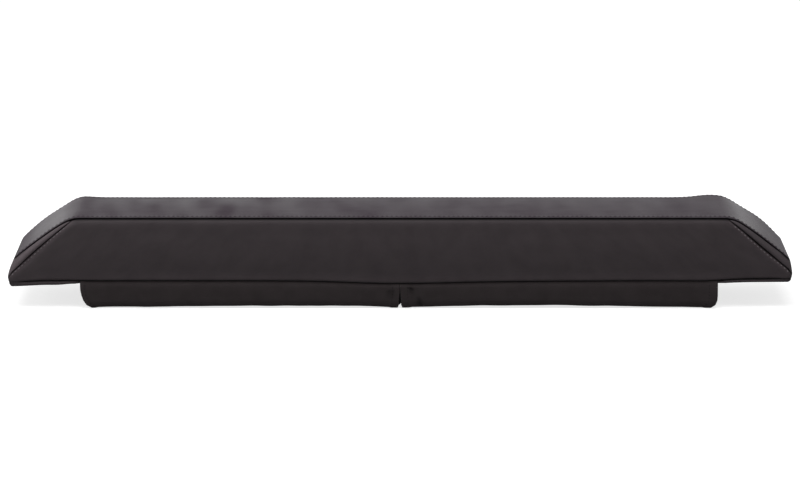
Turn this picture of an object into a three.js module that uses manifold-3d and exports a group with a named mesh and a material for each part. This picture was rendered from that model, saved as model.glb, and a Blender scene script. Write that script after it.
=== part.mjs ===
// A pad for the cross bar of a roof rack: a foam block with sloping ends in a sewn cover. Four flaps hang
// from the seams of its base. They close under the bar with hook and loop tape and make a sleeve round it.
// Millimetres. X runs along the pad, Y from front to back and Z up. The origin is on the ground, under the middle.

import * as THREE from "three";
import { mergeVertices } from "three/addons/utils/BufferGeometryUtils.js";
import Module from "manifold-3d";

const wasm = await Module();
wasm.setup();

// The padded body, measured from its underside
const padLength = 760;
const padWidth = 110;
const padHeight = 66;
const rampSetback = 60; // from the nose to the end of the flat top
const noseHeight = 26; // where a ramp ends
const noseLean = 5.5; // how far a ramp's foot stays behind the nose
const bellyHeight = 11.5; // where the nose reaches furthest out
const baseCornerRadius = 8;
const bellyRadius = 10;
const rampFootRadius = 7;
const rampHeadRadius = 14;
const edgeRadius = 6; // along the sides, all the way round
const cornerSteps = 5;
const edgeSteps = 4;

// The cover's fabric and its seams
const skin = 1.5;
const coreClearance = 0.3;
const seamGap = 0.4;
const topSeamInset = 3; // the top panel's seams, in from the sides
const baseSeamHeight = 3.5; // the base panel's edge is rolled up to here
const earFootHeight = 11; // the lower end of a side's slanting seam
const earTipRun = 10; // the ear ends bluntly, this far down the ramp

// The sleeve under the body
const sleeveDrop = 22;
const sleeveSetback = 68; // from the nose to the sleeve's end
const flapThickness = 1.4;
const flapInset = 0.6; // the flap's outer face, in from the body's side
const flapFold = 8; // outside radius where a flap turns under the bar
const flapCorner = 11; // rounded lower corner at the sleeve's ends
const slitCorner = 3; // rounded lower corner at the slit
const slitWidth = 1.5; // between the left and right flaps
const hemWidth = 9;
const hemThickness = 1.2;
const foldSteps = 5;

// The tape that closes the sleeve
const tapeWidth = 38;
const tapeThickness = 1;
const tapeMargin = 3; // bare fabric between a tape and the flap's edge
const tapeEndGap = 3; // between a tape and the hem
const layerGap = 0.3;
const joggleRun = 9; // the back flaps step up over the front ones within this
const joggleRadius = 3;

const halfLength = padLength / 2;
const halfWidth = padWidth / 2;
const far = 2 * (padLength + padWidth + padHeight);

const coated = new THREE.MeshStandardMaterial({ color: 0x3f3c3e, roughness: 0.5, metalness: 0 });
const woven = new THREE.MeshStandardMaterial({ color: 0x2c292a, roughness: 0.9, metalness: 0 });
const flapCloth = new THREE.MeshStandardMaterial({ color: 0x282526, roughness: 0.9, metalness: 0 });
const foam = new THREE.MeshStandardMaterial({ color: 0x8d9094, roughness: 1, metalness: 0 });
const hooks = new THREE.MeshStandardMaterial({ color: 0x1d1c1d, roughness: 0.7, metalness: 0 });
const loops = new THREE.MeshStandardMaterial({ color: 0x222122, roughness: 1, metalness: 0 });

// Solids and meshes

function solidOf(geometry) {
  const bare = geometry.index ? geometry.toNonIndexed() : geometry.clone();
  bare.deleteAttribute("normal");
  bare.deleteAttribute("uv");
  const merged = mergeVertices(bare, 1e-4);
  return new wasm.Manifold(
    new wasm.Mesh({
      numProp: 3,
      vertProperties: new Float32Array(merged.attributes.position.array),
      triVerts: new Uint32Array(merged.index.array),
    }),
  );
}

function meshOf(name, solid, material) {
  const made = solid.getMesh();
  const geometry = new THREE.BufferGeometry();
  geometry.setAttribute("position", new THREE.BufferAttribute(made.vertProperties, 3));
  geometry.setIndex(new THREE.BufferAttribute(made.triVerts, 1));
  geometry.computeVertexNormals();
  const mesh = new THREE.Mesh(geometry, material);
  mesh.name = name;
  return mesh;
}

// A box between two corners
function block(low, high) {
  const size = new THREE.Vector3().subVectors(high, low);
  const middle = new THREE.Vector3().addVectors(low, high).multiplyScalar(0.5);
  const geometry = new THREE.BoxGeometry(size.x, size.y, size.z);
  return solidOf(geometry.translate(middle.x, middle.y, middle.z));
}

// Everything on the side of a plane that its normal points away from. The plane runs along Y.
function behind(point, normal) {
  const geometry = new THREE.BoxGeometry(far, far, far);
  geometry.translate(0, 0, -far / 2);
  geometry.rotateY(Math.atan2(normal.x, normal.y));
  return solidOf(geometry.translate(point.x, 0, point.y));
}

// An outline in X and Z, extruded along Y and centred on it
function alongY(outline, depth, bevel = {}) {
  const rounding = bevel.bevelEnabled ? bevel.bevelThickness : 0;
  const geometry = new THREE.ExtrudeGeometry(new THREE.Shape(outline), {
    depth: depth - 2 * rounding,
    bevelEnabled: false,
    ...bevel,
  });
  return solidOf(geometry.rotateX(Math.PI / 2).translate(0, depth / 2 - rounding, 0));
}

// An outline in Y and Z, extruded along X from one place to another
function alongX(outline, from, to) {
  const geometry = new THREE.ExtrudeGeometry(new THREE.Shape(outline), {
    depth: to - from,
    bevelEnabled: false,
  });
  const turn = new THREE.Matrix4().makeBasis(
    new THREE.Vector3(0, 1, 0),
    new THREE.Vector3(0, 0, 1),
    new THREE.Vector3(1, 0, 0),
  );
  return solidOf(geometry.applyMatrix4(turn).translate(from, 0, 0));
}

// A row of points with its corners rounded: each corner is a Vector2 with a radius. A closed row rounds them all.
function rounded(corners, steps, closed) {
  return corners.flatMap((corner, i) => {
    const before = corners[(i + corners.length - 1) % corners.length];
    const after = corners[(i + 1) % corners.length];
    const isEnd = !closed && (i === 0 || i === corners.length - 1);
    if (!corner.radius || isEnd) return [corner.at.clone()];
    const back = new THREE.Vector2().subVectors(before.at, corner.at).normalize();
    const ahead = new THREE.Vector2().subVectors(after.at, corner.at).normalize();
    const halfAngle = Math.acos(THREE.MathUtils.clamp(back.dot(ahead), -1, 1)) / 2;
    const inward = back.clone().add(ahead).normalize();
    const centre = corner.at.clone().addScaledVector(inward, corner.radius / Math.sin(halfAngle));
    const start = corner.at.clone().addScaledVector(back, corner.radius / Math.tan(halfAngle));
    const spoke = start.sub(centre);
    const turn = Math.sign(back.cross(ahead)) * -(Math.PI - 2 * halfAngle);
    const points = [];
    for (let step = 0; step <= steps; step += 1) {
      const turned = spoke.clone().rotateAround(new THREE.Vector2(), (turn * step) / steps);
      points.push(turned.add(centre));
    }
    return points;
  });
}

const corner = (x, y, radius = 0) => ({ at: new THREE.Vector2(x, y), radius });

// The padded body

const rampHead = new THREE.Vector2(halfLength - rampSetback, padHeight);
const rampFoot = new THREE.Vector2(halfLength - noseLean, noseHeight);
const belly = new THREE.Vector2(halfLength, bellyHeight);
const earFoot = new THREE.Vector2(halfLength, earFootHeight);

function bodyOutline() {
  const right = [
    corner(halfLength, 0, baseCornerRadius),
    corner(belly.x, belly.y, bellyRadius),
    corner(rampFoot.x, rampFoot.y, rampFootRadius),
    corner(rampHead.x, rampHead.y, rampHeadRadius),
  ];
  const left = right.map((c) => corner(-c.at.x, c.at.y, c.radius)).reverse();
  return rounded([...right, ...left], cornerSteps, true);
}

// The body taken in by a distance on every side
function bodyWithin(inset) {
  return alongY(bodyOutline(), padWidth - 2 * inset, {
    bevelEnabled: true,
    bevelThickness: edgeRadius - inset,
    bevelSize: edgeRadius - inset,
    bevelOffset: -edgeRadius,
    bevelSegments: edgeSteps,
  });
}

const cover = bodyWithin(0).subtract(bodyWithin(skin));

// Where the cover is cut, with half a seam's gap kept on each side

const acrossTop = halfWidth - topSeamInset;
const middleStrip = block(
  new THREE.Vector3(-far, -acrossTop + seamGap / 2, -far),
  new THREE.Vector3(far, acrossTop - seamGap / 2, far),
);

function sideStrip(side) {
  const inner = side * (acrossTop + seamGap / 2);
  const outer = side * far;
  return block(
    new THREE.Vector3(-far, Math.min(inner, outer), -far),
    new THREE.Vector3(far, Math.max(inner, outer), far),
  );
}

const aboveBase = behind(new THREE.Vector2(0, baseSeamHeight + seamGap / 2), new THREE.Vector2(0, -1));
const belowSeam = behind(new THREE.Vector2(0, baseSeamHeight - seamGap / 2), new THREE.Vector2(0, 1));

// A plane at one end of the pad, moved along its normal. end is 1 on the right and -1 on the left.
function endPlane(end, point, normal, shift, flip) {
  const place = point.clone().addScaledVector(normal, shift);
  const facing = normal.clone().multiplyScalar(flip);
  return behind(
    new THREE.Vector2(end * place.x, place.y),
    new THREE.Vector2(end * facing.x, facing.y),
  );
}

// The top panel meets the nose at the ramp's foot, square to the surface there
const upRamp = rampHead.clone().sub(rampFoot).normalize();
const upNose = rampFoot.clone().sub(belly).normalize();
const footNormal = upRamp.clone().add(upNose).normalize();
const abovefoot = (end) => endPlane(end, rampFoot, footNormal, seamGap / 2, -1);
const belowFoot = (end) => endPlane(end, rampFoot, footNormal, -seamGap / 2, 1);

// The slanting seam on each side runs from the ramp's head to the nose
const slant = earFoot.clone().sub(rampHead).normalize();
const slantNormal = new THREE.Vector2(-slant.y, slant.x);
const tipPoint = new THREE.Vector2(rampHead.x + earTipRun, 0);
const outward = new THREE.Vector2(1, 0);

function earSpace(end, gap) {
  const aboveSlant = endPlane(end, rampHead, slantNormal, gap, -1);
  const pastTip = endPlane(end, tipPoint, outward, gap, -1);
  return aboveSlant.intersect(pastTip);
}

function topPanel() {
  return cover.intersect(middleStrip).intersect(aboveBase).intersect(abovefoot(1)).intersect(abovefoot(-1));
}

function sidePanel(side) {
  return cover
    .intersect(sideStrip(side))
    .intersect(aboveBase)
    .subtract(earSpace(1, -seamGap / 2))
    .subtract(earSpace(-1, -seamGap / 2));
}

// One piece of cloth: it covers the nose, and its two ears fill the sides between ramp and slanting seam
function endPanel(end) {
  const nose = belowFoot(end).intersect(middleStrip);
  const ear = earSpace(end, seamGap / 2);
  const ears = ear.intersect(sideStrip(1)).add(ear.intersect(sideStrip(-1)));
  const bend = belowFoot(end).intersect(ear);
  return cover.intersect(aboveBase).intersect(nose.add(ears).add(bend));
}

// The sleeve

const sleeveHalf = halfLength - sleeveSetback;
const flapTop = baseSeamHeight - seamGap / 2;
const flapOuter = halfWidth - flapInset;
const flapInner = flapOuter - flapThickness;
const flapReach = tapeWidth / 2 + tapeMargin; // past the middle
const frontFloor = -sleeveDrop + flapThickness; // top of the front flaps' lower run
const hookBottom = frontFloor + layerGap;
const loopBottom = hookBottom + tapeThickness + layerGap;
const backFloorBottom = loopBottom + tapeThickness + layerGap;
const joggleEnd = flapReach + flapThickness + hemThickness + layerGap;

// The base panel's rolled edge makes room for the flaps where they come out of the seam
function basePanel() {
  const roomHalf = sleeveHalf + layerGap;
  const room = (side) => {
    const inner = side * (flapInner - layerGap);
    const outer = side * far;
    return block(
      new THREE.Vector3(-roomHalf, Math.min(inner, outer), -far),
      new THREE.Vector3(roomHalf, Math.max(inner, outer), far),
    );
  };
  return cover.intersect(belowSeam).subtract(room(1)).subtract(room(-1));
}

// A strip of cloth seen from its end: the space between two distances from its middle line
function strip(line, from, to) {
  const normalAt = line.map((point, i) => {
    const before = line[Math.max(i - 1, 0)];
    const after = line[Math.min(i + 1, line.length - 1)];
    const into = point.clone().sub(before).normalize();
    const out = after.clone().sub(point).normalize();
    const along = into.add(out).normalize();
    return new THREE.Vector2(-along.y, along.x);
  });
  const edge = (distance) => line.map((point, i) => point.clone().addScaledVector(normalAt[i], distance));
  return [...edge(from), ...edge(to).reverse()];
}

// The middle lines of the flaps, from the seam down and under the bar
function frontFlapLine() {
  const wall = -flapOuter + flapThickness / 2;
  const floor = -sleeveDrop + flapThickness / 2;
  return rounded(
    [
      corner(wall, flapTop),
      corner(wall, floor, flapFold - flapThickness / 2),
      corner(flapReach, floor),
    ],
    foldSteps,
    false,
  );
}

function backFlapLine() {
  const wall = flapOuter - flapThickness / 2;
  const floor = -sleeveDrop + flapThickness / 2;
  const upperFloor = backFloorBottom + flapThickness / 2;
  return rounded(
    [
      corner(wall, flapTop),
      corner(wall, floor, flapFold - flapThickness / 2),
      corner(joggleEnd + joggleRun, floor, joggleRadius),
      corner(joggleEnd, upperFloor, joggleRadius),
      corner(-flapReach, upperFloor),
    ],
    foldSteps,
    false,
  );
}

// One flap's outline seen from the front. end is 1 on the right and -1 on the left.
function flapOutline(end) {
  const inner = (end * slitWidth) / 2;
  const outer = end * sleeveHalf;
  return rounded(
    [
      corner(inner, flapTop),
      corner(inner, -sleeveDrop, slitCorner),
      corner(outer, -sleeveDrop, flapCorner),
      corner(outer, flapTop),
    ],
    foldSteps,
    false,
  );
}

// inward is the side of the line that faces the bar: 1 on the left of its direction, -1 on the right
function flap(line, inward, end) {
  const half = flapThickness / 2;
  const inner = (end * slitWidth) / 2;
  const outer = end * sleeveHalf;
  const sheet = strip(line, -inward * half, inward * half);
  const hem = strip(line, -inward * half, inward * (half + hemThickness));
  const run = (outline, a, b) => alongX(outline, Math.min(a, b), Math.max(a, b));
  const belowBase = behind(new THREE.Vector2(0, -layerGap), new THREE.Vector2(0, 1));
  const hems = run(hem, inner, inner + end * hemWidth).add(run(hem, outer - end * hemWidth, outer));
  const cloth = run(sheet, inner, outer).add(hems.intersect(belowBase));
  return cloth.intersect(alongY(flapOutline(end), far));
}

function tape(end, bottom) {
  const inner = slitWidth / 2 + hemWidth + tapeEndGap;
  const outer = sleeveHalf - Math.max(hemWidth, flapCorner) - tapeEndGap;
  const from = Math.min(end * inner, end * outer);
  const to = Math.max(end * inner, end * outer);
  return block(
    new THREE.Vector3(from, -tapeWidth / 2, bottom),
    new THREE.Vector3(to, tapeWidth / 2, bottom + tapeThickness),
  );
}

// The assembly, with the sleeve standing on the ground

const pad = new THREE.Group();
pad.position.z = sleeveDrop;

pad.add(
  meshOf("foam_core", bodyWithin(skin + coreClearance), foam),
  meshOf("top_panel", topPanel(), coated),
  meshOf("front_panel", sidePanel(-1), woven),
  meshOf("back_panel", sidePanel(1), woven),
  meshOf("base_panel", basePanel(), woven),
);

for (const [name, end] of [
  ["left", -1],
  ["right", 1],
]) {
  pad.add(
    meshOf(`${name}_end_panel`, endPanel(end), woven),
    meshOf(`front_flap_${name}`, flap(frontFlapLine(), 1, end), flapCloth),
    meshOf(`back_flap_${name}`, flap(backFlapLine(), -1, end), flapCloth),
    meshOf(`hook_tape_${name}`, tape(end, hookBottom), hooks),
    meshOf(`loop_tape_${name}`, tape(end, loopBottom), loops),
  );
}

const part = new THREE.Group();
part.add(pad);

export default part;
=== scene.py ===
"""The looks of a roof rack pad.

A foam block in a sewn cover lies over a sleeve that closes with hook and loop tape. Metres, in the frame of
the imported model: X along the pad, Y from front to back, Z up from the sleeve's underside.
"""

import math

import bmesh
import bpy
from mathutils import Matrix, Vector, noise
from mathutils.bvhtree import BVHTree


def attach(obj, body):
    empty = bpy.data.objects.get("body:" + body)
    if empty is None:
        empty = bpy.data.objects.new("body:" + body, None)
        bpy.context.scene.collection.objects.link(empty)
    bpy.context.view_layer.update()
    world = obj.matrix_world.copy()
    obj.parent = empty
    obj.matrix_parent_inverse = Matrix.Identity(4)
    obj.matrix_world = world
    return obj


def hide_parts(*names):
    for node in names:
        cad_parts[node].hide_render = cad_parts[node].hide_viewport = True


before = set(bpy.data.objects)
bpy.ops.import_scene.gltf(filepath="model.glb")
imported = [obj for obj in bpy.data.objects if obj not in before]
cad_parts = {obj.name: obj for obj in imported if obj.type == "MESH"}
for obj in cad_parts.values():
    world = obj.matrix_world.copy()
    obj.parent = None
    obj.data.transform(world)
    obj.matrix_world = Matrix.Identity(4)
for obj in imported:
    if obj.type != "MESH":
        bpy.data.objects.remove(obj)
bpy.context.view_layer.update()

# The padded body. Heights of the body are measured from its underside, which is UNDERSIDE above the ground.
UNDERSIDE = 0.022
HALF_WIDTH = 0.055
HALF_LENGTH = 0.3808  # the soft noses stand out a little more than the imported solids
TOP_HEIGHT = 0.066
TOP_LIP_RADIUS = 0.0040  # the top panel rolls down to its seam
SEAM_TURN = math.radians(33)  # how far the edge has turned at the seam
ROLL_HEIGHT = 0.0062  # the side leans out below the seam for this much
ROLL_LEAN = 0.80  # its run over its rise there
ROLL_BEND = 0.0034  # it has straightened up over this much
BASE_EDGE_RADIUS = 0.0042  # along the base's edges
EDGE_SQUARENESS = 3  # 2 would be a round edge
FOOT_CORNER_RADIUS = 0.0040  # the nose's upright edges, at a ramp's foot
BELLY_CORNER_RADIUS = 0.0048  # and further down
BASE_SEAM = 0.0035  # the base panel is rolled up to here
BASE_CORNER = 0.0048  # how far the underside stays behind the nose
SHOULDER_BLEND = 0.005  # rounding between the flat top and a ramp
RAMP_SWELL = {-1: 0.0018, 1: 0.0024}  # a ramp's middle stands out by this
REAR_SWELL = {-1: 0.0010, 1: 0.0026}  # and by this much more along its back edge
SLANT_RISE = 0.885  # a slanting seam's rise over its run
SEAM_TURN_POWER = 1.25  # how that seam bends down round the nose's edge
SEAM_INSET = ROLL_LEAN * (ROLL_HEIGHT - ROLL_BEND / 2)  # of the top panel's seams from the sides
SEAM_DROP = TOP_LIP_RADIUS * (1 - math.cos(SEAM_TURN))  # and below the top
NOSE_CURVE = 1.4  # the nose leans back more steeply towards a ramp's foot

# What differs between the two ends: the left one droops a little, and the right one has the fuller ramp
HEAD_X = {-1: 0.3185, 1: 0.3225}
FOOT_X = {-1: 0.3735, 1: 0.3780}
FOOT_HEIGHT = {-1: 0.0270, 1: 0.0240}
BELLY_HEIGHT = {-1: 0.0078, 1: 0.0075}
SLANT_FOOT = {-1: 0.0088, 1: 0.0098}
END_RISE = {-1: 0.0004, 1: 0.0022}  # the lower seam rises towards the ends
RISE_RUN = {-1: (0.295, 0.325), 1: (0.290, 0.340)}
END_DROOP = {-1: 0.0015, 1: 0.0}  # and drops again at the left nose
DROOP_RUN = (0.340, 0.380)
END_BELLY = {-1: 0.0013, 1: 0.0003}  # the underside bulges at the ends, below the seam
MIDDLE_SAG = 0.0029
SAG_RUN = {-1: 0.06, 1: 0.10}
BASE_WAVE = 0.0006  # the lower seam waves by this
BASE_WAVE_SIZE = 0.12
DROOP_TOP = 0.045  # above this height the body keeps its plain shape
BELLY_RUN = (0.315, 0.335)
CORNER_RISE = {-1: 0.0010, 1: 0.0026}  # the top's back corners stand up by this
CORNER_PLACE = {-1: 0.313, 1: 0.3065}
CORNER_RUN = {-1: 0.014, 1: 0.0175}
REAR_SWELL_CURVE = 1.5  # a ramp's back edge swells most below its middle
REAR_LIFT_START = 0.3  # the back panel follows above this share of its height

# The cover's cloth
CLOTH = 0.0012
SEAM_DEPTH = 0.0024
SEAM_REACH = 0.0009
SLANT_ROLL = {-1: 0.0018, 1: 0.0016}  # both cloths fall towards a slanting seam by this
SLANT_ROLL_REACH = {-1: 0.0048, 1: 0.0030}  # gently on the side panel
EAR_ROLL_REACH = 0.0025  # and more steeply on the ear
SLANT_HIGHLIGHT_PLACE = 0.0022  # painted highlight on the side panel's cloth this far from a slanting seam, where its roll catches the light
SLANT_HIGHLIGHT_WIDTH = {-1: 0.0024, 1: 0.0012}
SLANT_HIGHLIGHT = {-1: 0.75, 1: 0.55}
# painted highlight on the end panels, strong on the left, where they catch the light
EAR_HIGHLIGHT = {-1: 0.95, 1: 0.15}
BAND_HIGHLIGHT = 0.13  # and a little painted highlight in a band under the top seam, where the side rolls up to the light
BAND_PLACE = 0.0055
BAND_WIDTH = 0.0030
# painted highlight along the top of the flaps, where the light falls
FLAP_TOP_HIGHLIGHT = 0.13
END_SEAM_FADE = 0.6  # the lower seam's painted shade is weaker beside the sleeve
SLEEVE_EDGE = (0.311, 0.319)
# painted highlights lighten the cloth towards this many times its light colour
HIGHLIGHT_GAIN = 1.9
LIP_REACH = 0.0006  # the top panel's edge is folded, so it drops more steeply
NOSE_SEAM_DEPTH = 0.0003  # round the noses the seams lie nearly flush
SHADE_REACH = 0.0008  # how far the painted shade in a seam's valley reaches
LIP_SHADE_REACH = 0.0010  # on the top panel
UNDER_LIP_SHADE = 0.0020  # and under its seam
EAR_SHADE = 0.18  # but at most this share of a narrow panel
CELL = 0.0040  # spacing of the vertices away from a seam
SEAM_STOPS = (0, 0.0003, 0.0006, 0.0010, 0.0016, 0.0026, 0.0042, 0.0064)
SEAM_ROOM = 2.5  # the stops are drawn together on a panel narrower than this many times the last
TOP_CROWN = 0.0022
SIDE_CROWN = 0.0012
EAR_CROWN = 0.0014
CROWN_CURVE = 0.7  # a panel stands out evenly, and falls only near its seams
VALLEY_CURVE = 1.6
SHADE_CURVE = 3
LEAST_SHADE = 0.00005  # for an ear's tip, where its seams meet
SHADE_FADE_HEIGHT = 0.005  # over the lower seam
CROWN_START = 0.008  # ripples and swell begin over this from a seam
NOSE_START = (0.360, 0.372)  # from the body to its noses
NOSE_FLAT_START = (0.368, 0.376)
NOSE_FLATNESS = 0.9  # the noses hardly stand out
EAR_SQUARE = 0.78  # the distance between an ear's seams over its upright height
TIP_BESIDE_HEAD = (-0.010, 0.020)  # an ear's tip lies between these distances from a ramp's head
EAR_TIP_GAP = 0.0002
EAR_TURN = 0.02  # over this an ear's edges run over into the nose's
NOSE_TOP_GAP = 0.0005
SLANT_HIGHLIGHT_START = (0.02, 0.15)  # shares of the side panel's height
BASE_TUCK = 0.0020  # the base's edge stays back behind the sleeve's flaps
BASE_TUCK_START = 0.8  # share of the base's half width
BASE_TUCK_END = (0.001, 0.005)  # past the sleeve's end
FOAM_INSET = 0.0024  # the foam stays under the cover's seams
MERGED = 0.00002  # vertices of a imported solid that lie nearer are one

# Soft waves in the cloth
SEEDS_APART = 17.3
TOP_WAVE = (0.00065, 0.00028)  # height on the top's left and right
TOP_WAVE_CHANGE = (-0.12, 0.0)
TOP_WAVE_SIZE = 0.035
TOP_WAVE_LONG = 0.25  # its size over that from front to back
WRINKLE_SHARE = 0.5
WRINKLE_SIZE = 0.016
WRINKLE_LONG = 0.4
SIDE_WAVE = (0.0004, 0.045)  # height and size
SIDE_WRINKLE = (0.00015, 0.014)
FLAP_WAVE = (0.0007, 0.050)
FLAP_WRINKLE = (0.0003, 0.016)
FOLD_WAVE = (0.0004, 0.045)

# The cloth simulation that fills the cover out
PUFF_VOXEL = 0.005
PUFF_HELD = 0.0035  # the cover is held this near a seam
PUFF_PRESSURE = 4
PUFF_STIFFNESS = 15
PUFF_BENDING = 0.5
PUFF_FRAMES = 20
PUFF_QUALITY = 5
PUFF_MASS = 0.3
PUFF_AIR = 5
PUFF_NEAREST = 0.001  # evens out the weights of the nearest points
PUFF_CAP = 0.0030
PUFF_SHARE = 0.7  # the rest of the crown is even

# The sleeve
SLEEVE_END = {-1: 0.3105, 1: 0.3085}
FLAP_CLOTH = 0.0014
FLAP_FACE = 0.0545  # outer face of the flaps, from the middle
FLAP_FOLD = 0.0045
FLAP_CORNER_RUN = {-1: 0.013, 1: 0.008}
FLAP_CORNER_RISE = {-1: 0.020, 1: 0.010}
FLAP_DROP = 0.0015  # the folds hang lower than the tapes
FLAP_SLING = {-1: 0.0015, 1: 0.0021}  # and are lifted by this between the slit and an end
SLING_RUN = {-1: 0.030, 1: 0.060}
FLOOR_LEVEL = -0.0022
FLAP_TUCK = 0.0015  # how far a flap's edge is drawn into the seam
SLIT_TOP = 0.0001  # half the slit's width
SLIT_FOOT = {-1: 0.0010, 1: 0.0003}  # in front and behind
SLIT_CORNER = 0.0025  # height of the notch at the slit's foot
SLIT_NOTCH = 0.0016  # and half its width
SLIT_SHIFT = 0.0018  # under the bar the slit runs a little aside
SLIT_NARROWING = (0.2, 0.75)  # shares of the sleeve's height
SLIT_CLOSING = (0.010, 0.019)  # by the distance in from the sleeve's face
NOTCH_CURVE = 1.2
SLIT_LAP = 0.0008  # a soft fold at the slit's head
LAP_LEAN = 0.3
LAP_WIDTH = 0.0016
LAP_START = 0.002
LAP_END = (0.003, 0.010)
HEM_WIDTH = {-1: 0.0055, 1: 0.0095}  # at the sleeve's ends
SLIT_HEM = 0.0085
HEM_STEP = 0.0005
HEM_EDGE = 0.0005  # half the width of the step
HEM_DEPTH = 0.034  # down the flap, as far as the hem's step shows
HEM_PULL = 0.0004  # the cloth is drawn in along the slit's hem
HEM_PULL_WIDTH = (0.0006, 0.002)
FLAP_EDGE_RADIUS = 0.0009
FLAP_SEAM_GAP = 0.0002
FLAP_BEND_DROP = 0.0005
FLAP_BEND = 0.004
WAVE_START = (0.002, 0.016)  # down the flap
WAVE_END = (0.030, 0.040)
LIFT_START = (0.012, 0.022)
LIFT_END = (0.030, 0.045)
END_SLING_RUN = 0.10
DROOP_END = 0.010  # the body's droop fades down the flap over this
FLAP_LIGHT_END = (0.004, 0.012)
FLAP_REACH = 0.022  # past the middle
DENTS = ((0.0195, 0.0205), (0.0105, 0.0075), (-0.0085, 0.0120))  # pulls in the front flaps, by x and depth
DENT_RADIUS = 0.0024
DENT_DEPTH = 0.0014
# painted shade in the pulls of the front flaps
DENT_SHADE = 0.8
UPPER_FLOOR = 0.0043  # underside of the back flaps' raised lower run
JOGGLE_START = 0.0355
JOGGLE_END = 0.0270
JOGGLE_RADIUS = 0.003
TAPE_WIDTH = 0.038
TAPE_THICKNESS = 0.0012
TAPE_START = 0.0120
TAPE_END = 0.2980
TAPE_ROUNDING = 0.0003

# Colours, each as the dark and the light of a fabric, or as the middle of a plain material
COATED_COLOURS = ((0.020, 0.0085, 0.018), (0.052, 0.0415, 0.050))
WOVEN_COLOURS = ((0.0210, 0.0152, 0.0176), (0.0325, 0.0246, 0.0275))
# the woven colours painted lighter, for the light that the end panels catch
EAR_LIT_COLOURS = ((0.031, 0.0243, 0.0275), (0.048, 0.0385, 0.0422))
FLAP_COLOURS = ((0.0162, 0.0124, 0.0132), (0.0256, 0.0205, 0.0214))
FOAM_COLOUR = (0.27, 0.28, 0.30)
THREAD_COLOUR = (0.007, 0.006, 0.0065)
# the thread painted lighter, for the highlight along the slanting seams' edge
SIDE_THREAD_LIT_COLOUR = (0.120, 0.106, 0.112)
HOOK_COLOUR = (0.012, 0.011, 0.012)
LOOP_COLOUR = (0.016, 0.015, 0.016)
# painted shade: the near black that the seams' valleys are darkened to
SEAM_SHADE_COLOUR = (0.002, 0.002, 0.002)
SPREAD = 0.25  # a plain material is darker and lighter by this share

# The weave and its soft blotches
FINE_PITCH = 0.0005
COARSE_PITCH = 0.0008
THREAD_SHARE = 0.35  # of the threads in the colour, over that of the blotches
BLOTCH_SCALE = 55
BLOTCH_DETAIL = 4
GRAIN_DETAIL = 5  # of a plain material
WEAVE_RELIEF = 0.6
GRAIN_RELIEF = 0.5
SHEEN_ROUGHNESS = 0.4

# Long bands of painted sheen in the top's cloth, where its ripples catch the light, calmer on its right and
# fading out on the ramps, by the distance along it
BAND_SCALE = 30
BAND_DETAIL = 1
BAND_LONG = 0.3  # a band's size along the pad over that from front to back
BAND_LEVEL = 0.46
BAND_SHINE = 0.30  # a lighter band is smoother too
BAND_CALM = (0.22, 0.38)
BAND_CALM_SHARE = 0.4
RAMP_BANDS = ((0.035, 0.085), (0.740, 0.690))

# Painted light and shade of the top cloth on the ramps, by the distance along it: lighter at their heads and
# darker at their feet, as the light falls on them
RAMP_PAINTED_LIGHT = ((0.000, -0.30), (0.010, -0.22), (0.025, 0.0), (0.050, 0.12), (0.072, 0.0),
              (0.700, 0.0), (0.720, 0.10), (0.747, -0.15), (0.765, -0.24))

# Thread
TOP_STITCH = (0.0046, 0.0032, 0.00118)  # pitch, length and thickness
SLANT_STITCH = (0.0042, 0.0026, 0.00110)
HEM_STITCH = (0.0032, 0.0023, 0.00045)
STITCH_SINK = 0.15  # share of its thickness by which a stitch bites in
TOPSTITCH_INSET = 0.0034
SLANT_STITCH_INSET = 0.0027  # along the panel
SLANT_STITCH_RUN = (0.10, 0.90)  # shares of the panel's height
SLIT_STITCH_INSET = 0.0015
END_STITCH_INSET = 0.0012
EDGE_STITCH_INSET = 0.0018
EDGE_STITCH_END = 0.012
TAPE_STITCH_INSET = 0.0015
STITCH_END = 0.003  # a line of stitches stops this far from a panel's ends
STITCHES_AT_ONCE = 800  # vertices made together, because a small mesh grows faster

# Camera: the photograph's angle, from far away through a long lens
CAMERA_DISTANCE = 4.1
CAMERA_ELEVATION = math.radians(11.7)
CAMERA_AIM = Vector((0, -HALF_WIDTH, 0.0549))
WIDTH_IN_VIEW = 0.7746

# Light
SKY_LOW = 0.52  # the backdrop's brightness near the floor
SKY_HIGH = 0.30  # and above
SKY_BEND = 0.24  # sine of the elevation where it has reached the upper value
SKY_SIDES = {-1: 1.1, 1: 1.15}  # brighter still at both sides, a little above the floor
SIDE_RISE = (0.02, 0.14)  # between these sines of the elevation
SIDE_FALL = (0.18, 0.32)
SIDE_BACK = (0.3, 0.8)  # only behind the pad
SIDE_START = (0.08, 0.30)  # and away from its middle
FLOOR_WHITE = 0.50
FLOOR_GLOW = 0.75  # what the camera sees of the floor besides, so that it comes out white
FLOOR_REACH = 6
OVERHEAD_LIGHT = ((-0.35, -0.9, 2.4), (0, 0, 0), (3.0, 1.6), 69)  # place, aim, size and power
LEFT_LIGHT = ((-2.3, -0.5, 1.1), (-0.3, 0, 0.05), (1.2, 1.2), 10)


def smooth_step(low, high, value):
    t = min(max((value - low) / (high - low), 0), 1)
    return t * t * (3 - 2 * t)


def mix(a, b, t):
    return a + (b - a) * t


def side_of(x):
    return 1 if x >= 0 else -1


def swirl(x, y, size, seed):
    """Soft, repeatable noise between about -1 and 1 at that size."""
    return noise.noise(Vector((x / size, y / size, SEEDS_APART * seed)))


def wave(kind, x, y, seed):
    """A soft wave. Its kind is its height and its size."""
    height, size = kind
    return height * swirl(x, y, size, seed)


def add_object(name, data):
    thing = bpy.data.objects.new(name, data)
    bpy.context.scene.collection.objects.link(thing)
    return thing


# The body's shape


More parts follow.
